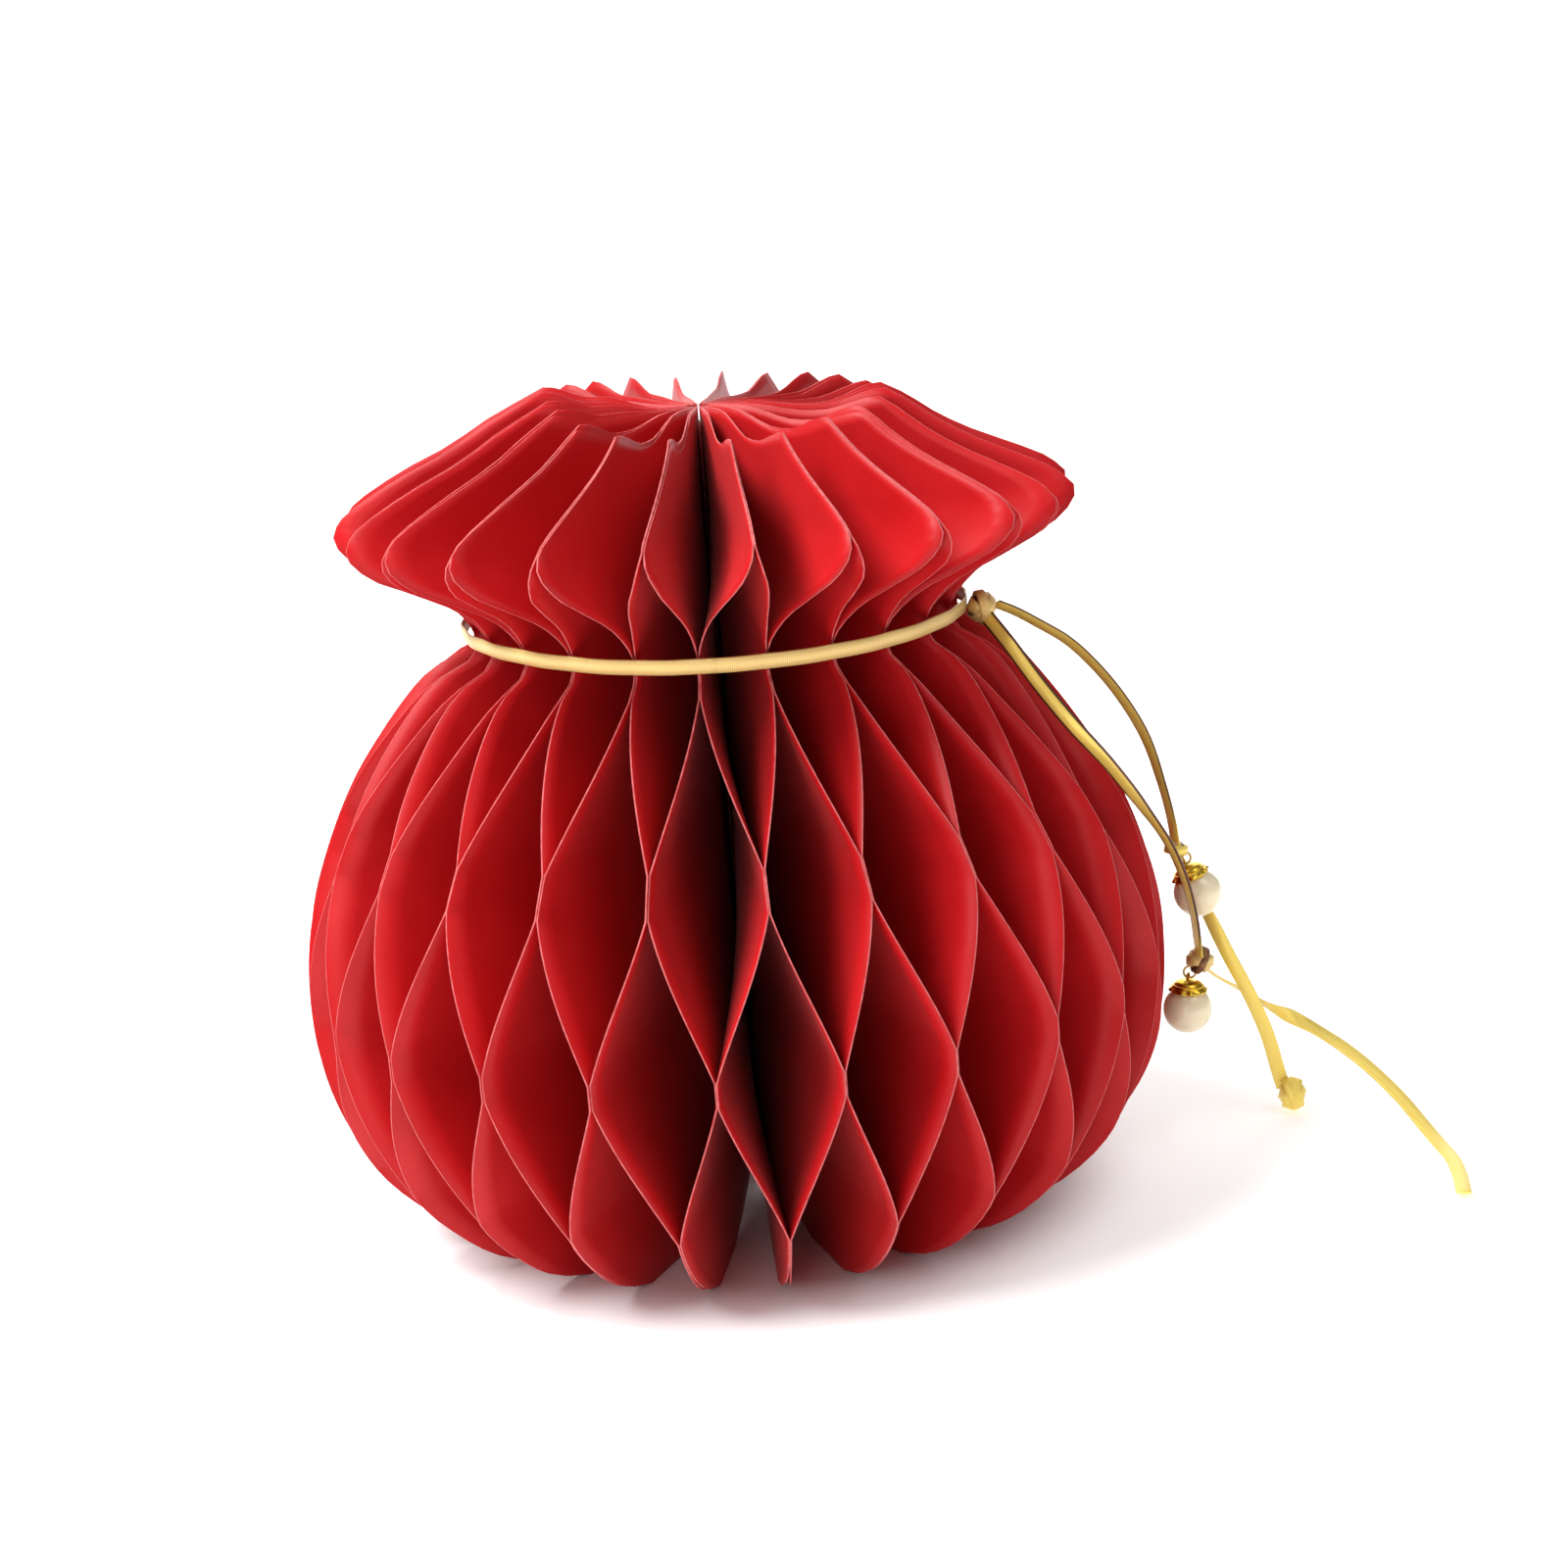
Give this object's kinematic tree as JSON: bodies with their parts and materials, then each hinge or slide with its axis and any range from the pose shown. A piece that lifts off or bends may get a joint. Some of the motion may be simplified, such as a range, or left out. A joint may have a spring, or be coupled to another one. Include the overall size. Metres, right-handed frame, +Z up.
{
  "type": "honeycomb paper pouch decoration",
  "caption": "Round honeycomb-paper decoration shaped like a tied pouch: glued red paper leaves, a pinched neck, a frilled top, and a gold cord with two capped pearls.",
  "frame": {"origin": "on the floor, on the centre line of the pouch", "axes": "+Z up along the centre line, -Y towards the viewer, +X towards the knot"},
  "size_m": [0.2246, 0.171, 0.1662],
  "materials": {
    "red_paper": "matt coloured paper with lighter cut edges",
    "spine_paper": "matt, thread and glue",
    "gold_cord": "flat woven cord with a metallic sheen",
    "gold_metal": "polished, gold coloured",
    "pearl": "pearly lacquer"
  },
  "bodies": {
    "spine": {"spine_binding": "spine_paper", "leaf_01": "red_paper", "ribbon_loop": "gold_cord", "ribbon_knot": "gold_cord", "ribbon_tail_a": "gold_cord", "ribbon_tail_b": "gold_cord", "tail_knot_a": "gold_cord", "tail_knot_b": "gold_cord", "end_knot_a": "gold_cord"},
    "leaf_02": {"leaf_02": "red_paper"},
    "leaf_03": {"leaf_03": "red_paper"},
    "leaf_04": {"leaf_04": "red_paper"},
    "leaf_05": {"leaf_05": "red_paper"},
    "leaf_06": {"leaf_06": "red_paper"},
    "leaf_07": {"leaf_07": "red_paper"},
    "leaf_08": {"leaf_08": "red_paper"},
    "leaf_09": {"leaf_09": "red_paper"},
    "leaf_10": {"leaf_10": "red_paper"},
    "leaf_11": {"leaf_11": "red_paper"},
    "leaf_12": {"leaf_12": "red_paper"},
    "leaf_13": {"leaf_13": "red_paper"},
    "leaf_14": {"leaf_14": "red_paper"},
    "leaf_15": {"leaf_15": "red_paper"},
    "leaf_16": {"leaf_16": "red_paper"},
    "leaf_17": {"leaf_17": "red_paper"},
    "leaf_18": {"leaf_18": "red_paper"},
    "leaf_19": {"leaf_19": "red_paper"},
    "leaf_20": {"leaf_20": "red_paper"},
    "leaf_21": {"leaf_21": "red_paper"},
    "leaf_22": {"leaf_22": "red_paper"},
    "leaf_23": {"leaf_23": "red_paper"},
    "leaf_24": {"leaf_24": "red_paper"},
    "leaf_25": {"leaf_25": "red_paper"},
    "leaf_26": {"leaf_26": "red_paper"},
    "leaf_27": {"leaf_27": "red_paper"},
    "leaf_28": {"leaf_28": "red_paper"},
    "leaf_29": {"leaf_29": "red_paper"},
    "leaf_30": {"leaf_30": "red_paper"},
    "leaf_31": {"leaf_31": "red_paper"},
    "leaf_32": {"leaf_32": "red_paper"},
    "leaf_33": {"leaf_33": "red_paper"},
    "leaf_34": {"leaf_34": "red_paper"},
    "leaf_35": {"leaf_35": "red_paper"},
    "leaf_36": {"leaf_36": "red_paper"},
    "leaf_37": {"leaf_37": "red_paper"},
    "leaf_38": {"leaf_38": "red_paper"},
    "leaf_39": {"leaf_39": "red_paper"},
    "leaf_40": {"leaf_40": "red_paper"},
    "leaf_41": {"leaf_41": "red_paper"},
    "leaf_42": {"leaf_42": "red_paper"},
    "leaf_43": {"leaf_43": "red_paper"},
    "leaf_44": {"leaf_44": "red_paper"},
    "leaf_45": {"leaf_45": "red_paper"},
    "leaf_46": {"leaf_46": "red_paper"},
    "leaf_47": {"leaf_47": "red_paper"},
    "leaf_48": {"leaf_48": "red_paper"},
    "pearl_a": {"pearl_a": "pearl", "pearl_cap_a": "gold_metal"},
    "pearl_b": {"pearl_b": "pearl", "pearl_cap_b": "gold_metal"}
  },
  "joints": [
    {"name": "leaf_02_turn", "type": "hinge", "parent": "spine", "child": "leaf_02", "pos_m": [0, 0, 0.085], "axis": [0, 0, 1], "range_deg": [-7.15, 0], "deforming": ["leaf_02"]},
    {"name": "leaf_03_turn", "type": "hinge", "parent": "spine", "child": "leaf_03", "pos_m": [0, 0, 0.085], "axis": [0, 0, 1], "range_deg": [-14.3, 0], "deforming": ["leaf_03"]},
    {"name": "leaf_04_turn", "type": "hinge", "parent": "spine", "child": "leaf_04", "pos_m": [0, 0, 0.085], "axis": [0, 0, 1], "range_deg": [-21.45, 0], "deforming": ["leaf_04"]},
    {"name": "leaf_05_turn", "type": "hinge", "parent": "spine", "child": "leaf_05", "pos_m": [0, 0, 0.085], "axis": [0, 0, 1], "range_deg": [-28.6, 0], "deforming": ["leaf_05"]},
    {"name": "leaf_06_turn", "type": "hinge", "parent": "spine", "child": "leaf_06", "pos_m": [0, 0, 0.085], "axis": [0, 0, 1], "range_deg": [-35.75, 0], "deforming": ["leaf_06"]},
    {"name": "leaf_07_turn", "type": "hinge", "parent": "spine", "child": "leaf_07", "pos_m": [0, 0, 0.085], "axis": [0, 0, 1], "range_deg": [-42.9, 0], "deforming": ["leaf_07"]},
    {"name": "leaf_08_turn", "type": "hinge", "parent": "spine", "child": "leaf_08", "pos_m": [0, 0, 0.085], "axis": [0, 0, 1], "range_deg": [-50.04, 0], "deforming": ["leaf_08"]},
    {"name": "leaf_09_turn", "type": "hinge", "parent": "spine", "child": "leaf_09", "pos_m": [0, 0, 0.085], "axis": [0, 0, 1], "range_deg": [-57.19, 0], "deforming": ["leaf_09"]},
    {"name": "leaf_10_turn", "type": "hinge", "parent": "spine", "child": "leaf_10", "pos_m": [0, 0, 0.085], "axis": [0, 0, 1], "range_deg": [-64.34, 0], "deforming": ["leaf_10"]},
    {"name": "leaf_11_turn", "type": "hinge", "parent": "spine", "child": "leaf_11", "pos_m": [0, 0, 0.085], "axis": [0, 0, 1], "range_deg": [-71.49, 0], "deforming": ["leaf_11"]},
    {"name": "leaf_12_turn", "type": "hinge", "parent": "spine", "child": "leaf_12", "pos_m": [0, 0, 0.085], "axis": [0, 0, 1], "range_deg": [-78.64, 0], "deforming": ["leaf_12"]},
    {"name": "leaf_13_turn", "type": "hinge", "parent": "spine", "child": "leaf_13", "pos_m": [0, 0, 0.085], "axis": [0, 0, 1], "range_deg": [-85.79, 0], "deforming": ["leaf_13"]},
    {"name": "leaf_14_turn", "type": "hinge", "parent": "spine", "child": "leaf_14", "pos_m": [0, 0, 0.085], "axis": [0, 0, 1], "range_deg": [-92.94, 0], "deforming": ["leaf_14"]},
    {"name": "leaf_15_turn", "type": "hinge", "parent": "spine", "child": "leaf_15", "pos_m": [0, 0, 0.085], "axis": [0, 0, 1], "range_deg": [-100.09, 0], "deforming": ["leaf_15"]},
    {"name": "leaf_16_turn", "type": "hinge", "parent": "spine", "child": "leaf_16", "pos_m": [0, 0, 0.085], "axis": [0, 0, 1], "range_deg": [-107.24, 0], "deforming": ["leaf_16"]},
    {"name": "leaf_17_turn", "type": "hinge", "parent": "spine", "child": "leaf_17", "pos_m": [0, 0, 0.085], "axis": [0, 0, 1], "range_deg": [-114.38, 0], "deforming": ["leaf_17"]},
    {"name": "leaf_18_turn", "type": "hinge", "parent": "spine", "child": "leaf_18", "pos_m": [0, 0, 0.085], "axis": [0, 0, 1], "range_deg": [-121.53, 0], "deforming": ["leaf_18"]},
    {"name": "leaf_19_turn", "type": "hinge", "parent": "spine", "child": "leaf_19", "pos_m": [0, 0, 0.085], "axis": [0, 0, 1], "range_deg": [-128.68, 0], "deforming": ["leaf_19"]},
    {"name": "leaf_20_turn", "type": "hinge", "parent": "spine", "child": "leaf_20", "pos_m": [0, 0, 0.085], "axis": [0, 0, 1], "range_deg": [-135.83, 0], "deforming": ["leaf_20"]},
    {"name": "leaf_21_turn", "type": "hinge", "parent": "spine", "child": "leaf_21", "pos_m": [0, 0, 0.085], "axis": [0, 0, 1], "range_deg": [-142.98, 0], "deforming": ["leaf_21"]},
    {"name": "leaf_22_turn", "type": "hinge", "parent": "spine", "child": "leaf_22", "pos_m": [0, 0, 0.085], "axis": [0, 0, 1], "range_deg": [-150.13, 0], "deforming": ["leaf_22"]},
    {"name": "leaf_23_turn", "type": "hinge", "parent": "spine", "child": "leaf_23", "pos_m": [0, 0, 0.085], "axis": [0, 0, 1], "range_deg": [-157.28, 0], "deforming": ["leaf_23"]},
    {"name": "leaf_24_turn", "type": "hinge", "parent": "spine", "child": "leaf_24", "pos_m": [0, 0, 0.085], "axis": [0, 0, 1], "range_deg": [-164.43, 0], "deforming": ["leaf_24"]},
    {"name": "leaf_25_turn", "type": "hinge", "parent": "spine", "child": "leaf_25", "pos_m": [0, 0, 0.085], "axis": [0, 0, 1], "range_deg": [-171.58, 0], "deforming": ["leaf_25"]},
    {"name": "leaf_26_turn", "type": "hinge", "parent": "spine", "child": "leaf_26", "pos_m": [0, 0, 0.085], "axis": [0, 0, 1], "range_deg": [-178.72, 0], "deforming": ["leaf_26"]},
    {"name": "leaf_27_turn", "type": "hinge", "parent": "spine", "child": "leaf_27", "pos_m": [0, 0, 0.085], "axis": [0, 0, 1], "range_deg": [-185.87, 0], "deforming": ["leaf_27"]},
    {"name": "leaf_28_turn", "type": "hinge", "parent": "spine", "child": "leaf_28", "pos_m": [0, 0, 0.085], "axis": [0, 0, 1], "range_deg": [-193.02, 0], "deforming": ["leaf_28"]},
    {"name": "leaf_29_turn", "type": "hinge", "parent": "spine", "child": "leaf_29", "pos_m": [0, 0, 0.085], "axis": [0, 0, 1], "range_deg": [-200.17, 0], "deforming": ["leaf_29"]},
    {"name": "leaf_30_turn", "type": "hinge", "parent": "spine", "child": "leaf_30", "pos_m": [0, 0, 0.085], "axis": [0, 0, 1], "range_deg": [-207.32, 0], "deforming": ["leaf_30"]},
    {"name": "leaf_31_turn", "type": "hinge", "parent": "spine", "child": "leaf_31", "pos_m": [0, 0, 0.085], "axis": [0, 0, 1], "range_deg": [-214.47, 0], "deforming": ["leaf_31"]},
    {"name": "leaf_32_turn", "type": "hinge", "parent": "spine", "child": "leaf_32", "pos_m": [0, 0, 0.085], "axis": [0, 0, 1], "range_deg": [-221.62, 0], "deforming": ["leaf_32"]},
    {"name": "leaf_33_turn", "type": "hinge", "parent": "spine", "child": "leaf_33", "pos_m": [0, 0, 0.085], "axis": [0, 0, 1], "range_deg": [-228.77, 0], "deforming": ["leaf_33"]},
    {"name": "leaf_34_turn", "type": "hinge", "parent": "spine", "child": "leaf_34", "pos_m": [0, 0, 0.085], "axis": [0, 0, 1], "range_deg": [-235.92, 0], "deforming": ["leaf_34"]},
    {"name": "leaf_35_turn", "type": "hinge", "parent": "spine", "child": "leaf_35", "pos_m": [0, 0, 0.085], "axis": [0, 0, 1], "range_deg": [-243.06, 0], "deforming": ["leaf_35"]},
    {"name": "leaf_36_turn", "type": "hinge", "parent": "spine", "child": "leaf_36", "pos_m": [0, 0, 0.085], "axis": [0, 0, 1], "range_deg": [-250.21, 0], "deforming": ["leaf_36"]},
    {"name": "leaf_37_turn", "type": "hinge", "parent": "spine", "child": "leaf_37", "pos_m": [0, 0, 0.085], "axis": [0, 0, 1], "range_deg": [-257.36, 0], "deforming": ["leaf_37"]},
    {"name": "leaf_38_turn", "type": "hinge", "parent": "spine", "child": "leaf_38", "pos_m": [0, 0, 0.085], "axis": [0, 0, 1], "range_deg": [-264.51, 0], "deforming": ["leaf_38"]},
    {"name": "leaf_39_turn", "type": "hinge", "parent": "spine", "child": "leaf_39", "pos_m": [0, 0, 0.085], "axis": [0, 0, 1], "range_deg": [-271.66, 0], "deforming": ["leaf_39"]},
    {"name": "leaf_40_turn", "type": "hinge", "parent": "spine", "child": "leaf_40", "pos_m": [0, 0, 0.085], "axis": [0, 0, 1], "range_deg": [-278.81, 0], "deforming": ["leaf_40"]},
    {"name": "leaf_41_turn", "type": "hinge", "parent": "spine", "child": "leaf_41", "pos_m": [0, 0, 0.085], "axis": [0, 0, 1], "range_deg": [-285.96, 0], "deforming": ["leaf_41"]},
    {"name": "leaf_42_turn", "type": "hinge", "parent": "spine", "child": "leaf_42", "pos_m": [0, 0, 0.085], "axis": [0, 0, 1], "range_deg": [-293.11, 0], "deforming": ["leaf_42"]},
    {"name": "leaf_43_turn", "type": "hinge", "parent": "spine", "child": "leaf_43", "pos_m": [0, 0, 0.085], "axis": [0, 0, 1], "range_deg": [-300.26, 0], "deforming": ["leaf_43"]},
    {"name": "leaf_44_turn", "type": "hinge", "parent": "spine", "child": "leaf_44", "pos_m": [0, 0, 0.085], "axis": [0, 0, 1], "range_deg": [-307.41, 0], "deforming": ["leaf_44"]},
    {"name": "leaf_45_turn", "type": "hinge", "parent": "spine", "child": "leaf_45", "pos_m": [0, 0, 0.085], "axis": [0, 0, 1], "range_deg": [-314.56, 0], "deforming": ["leaf_45"]},
    {"name": "leaf_46_turn", "type": "hinge", "parent": "spine", "child": "leaf_46", "pos_m": [0, 0, 0.085], "axis": [0, 0, 1], "range_deg": [-321.7, 0], "deforming": ["leaf_46"]},
    {"name": "leaf_47_turn", "type": "hinge", "parent": "spine", "child": "leaf_47", "pos_m": [0, 0, 0.085], "axis": [0, 0, 1], "range_deg": [-328.85, 0], "deforming": ["leaf_47"]},
    {"name": "fan_fold", "type": "hinge", "parent": "spine", "child": "leaf_48", "pos_m": [0, 0, 0.085], "axis": [0, 0, 1], "range_deg": [-336, 0], "deforming": ["leaf_48", "leaf_01"]},
    {"name": "pearl_a_swing", "type": "hinge", "parent": "spine", "child": "pearl_a", "pos_m": [0.09126, 0.007, 0.05935], "axis": [1, 0, 0], "range_deg": [-40, 4]},
    {"name": "pearl_b_swing", "type": "hinge", "parent": "spine", "child": "pearl_b", "pos_m": [0.09036, 0.004, 0.03613], "axis": [1, 0, 0], "range_deg": [-40, 40]}
  ],
  "couplings": [
    {"joint": "leaf_02_turn", "follows": "fan_fold", "ratio": 0.021277},
    {"joint": "leaf_03_turn", "follows": "fan_fold", "ratio": 0.042553},
    {"joint": "leaf_04_turn", "follows": "fan_fold", "ratio": 0.06383},
    {"joint": "leaf_05_turn", "follows": "fan_fold", "ratio": 0.085106},
    {"joint": "leaf_06_turn", "follows": "fan_fold", "ratio": 0.10638},
    {"joint": "leaf_07_turn", "follows": "fan_fold", "ratio": 0.12766},
    {"joint": "leaf_08_turn", "follows": "fan_fold", "ratio": 0.14894},
    {"joint": "leaf_09_turn", "follows": "fan_fold", "ratio": 0.17021},
    {"joint": "leaf_10_turn", "follows": "fan_fold", "ratio": 0.19149},
    {"joint": "leaf_11_turn", "follows": "fan_fold", "ratio": 0.21277},
    {"joint": "leaf_12_turn", "follows": "fan_fold", "ratio": 0.23404},
    {"joint": "leaf_13_turn", "follows": "fan_fold", "ratio": 0.25532},
    {"joint": "leaf_14_turn", "follows": "fan_fold", "ratio": 0.2766},
    {"joint": "leaf_15_turn", "follows": "fan_fold", "ratio": 0.29787},
    {"joint": "leaf_16_turn", "follows": "fan_fold", "ratio": 0.31915},
    {"joint": "leaf_17_turn", "follows": "fan_fold", "ratio": 0.34043},
    {"joint": "leaf_18_turn", "follows": "fan_fold", "ratio": 0.3617},
    {"joint": "leaf_19_turn", "follows": "fan_fold", "ratio": 0.38298},
    {"joint": "leaf_20_turn", "follows": "fan_fold", "ratio": 0.40426},
    {"joint": "leaf_21_turn", "follows": "fan_fold", "ratio": 0.42553},
    {"joint": "leaf_22_turn", "follows": "fan_fold", "ratio": 0.44681},
    {"joint": "leaf_23_turn", "follows": "fan_fold", "ratio": 0.46809},
    {"joint": "leaf_24_turn", "follows": "fan_fold", "ratio": 0.48936},
    {"joint": "leaf_25_turn", "follows": "fan_fold", "ratio": 0.51064},
    {"joint": "leaf_26_turn", "follows": "fan_fold", "ratio": 0.53191},
    {"joint": "leaf_27_turn", "follows": "fan_fold", "ratio": 0.55319},
    {"joint": "leaf_28_turn", "follows": "fan_fold", "ratio": 0.57447},
    {"joint": "leaf_29_turn", "follows": "fan_fold", "ratio": 0.59574},
    {"joint": "leaf_30_turn", "follows": "fan_fold", "ratio": 0.61702},
    {"joint": "leaf_31_turn", "follows": "fan_fold", "ratio": 0.6383},
    {"joint": "leaf_32_turn", "follows": "fan_fold", "ratio": 0.65957},
    {"joint": "leaf_33_turn", "follows": "fan_fold", "ratio": 0.68085},
    {"joint": "leaf_34_turn", "follows": "fan_fold", "ratio": 0.70213},
    {"joint": "leaf_35_turn", "follows": "fan_fold", "ratio": 0.7234},
    {"joint": "leaf_36_turn", "follows": "fan_fold", "ratio": 0.74468},
    {"joint": "leaf_37_turn", "follows": "fan_fold", "ratio": 0.76596},
    {"joint": "leaf_38_turn", "follows": "fan_fold", "ratio": 0.78723},
    {"joint": "leaf_39_turn", "follows": "fan_fold", "ratio": 0.80851},
    {"joint": "leaf_40_turn", "follows": "fan_fold", "ratio": 0.82979},
    {"joint": "leaf_41_turn", "follows": "fan_fold", "ratio": 0.85106},
    {"joint": "leaf_42_turn", "follows": "fan_fold", "ratio": 0.87234},
    {"joint": "leaf_43_turn", "follows": "fan_fold", "ratio": 0.89362},
    {"joint": "leaf_44_turn", "follows": "fan_fold", "ratio": 0.91489},
    {"joint": "leaf_45_turn", "follows": "fan_fold", "ratio": 0.93617},
    {"joint": "leaf_46_turn", "follows": "fan_fold", "ratio": 0.95745},
    {"joint": "leaf_47_turn", "follows": "fan_fold", "ratio": 0.97872}
  ]
}
